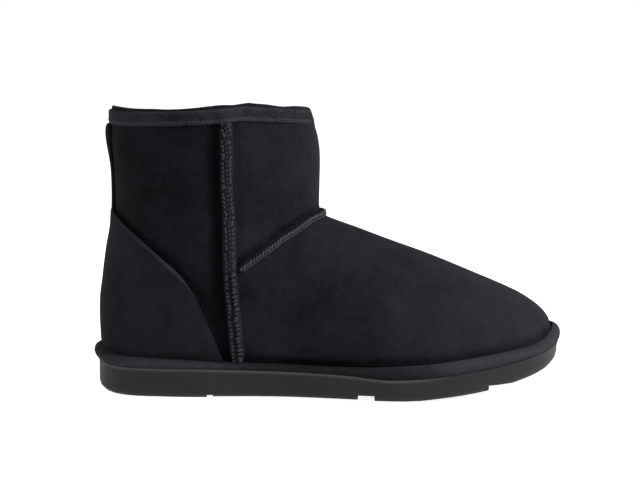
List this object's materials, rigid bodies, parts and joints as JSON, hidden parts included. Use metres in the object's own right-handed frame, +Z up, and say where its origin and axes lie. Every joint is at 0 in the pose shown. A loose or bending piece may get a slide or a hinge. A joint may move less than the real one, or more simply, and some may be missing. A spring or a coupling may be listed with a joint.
{
  "type": "sheepskin ankle boot",
  "caption": "Pull-on suede sheepskin ankle boot with bound collar, raised side and instep seams, heel counter, twill-covered rand and moulded rubber sole, standing empty",
  "frame": {"origin": "centre of the bounding box on the floor under the sole", "axes": "+X towards the toe, +Z up, -Y the outer side of the foot"},
  "size_m": [0.2894, 0.1134, 0.173],
  "materials": {
    "suede": "charcoal suede with a soft matt nap",
    "twill": "charcoal twill tape, matt",
    "rubber_sole": "charcoal moulded rubber foam, matt",
    "fleece": "dark curly wool pile",
    "thread": "grey polyester thread"
  },
  "bodies": {
    "root": {"outsole": "rubber_sole", "rand": "twill", "insole": "fleece", "upper": "suede", "heel_counter": "suede", "back_strip": "suede", "collar_binding": "twill", "side_seam_lateral": "suede", "side_seam_medial": "suede", "vamp_seam": "suede"}
  },
  "joints": []
}
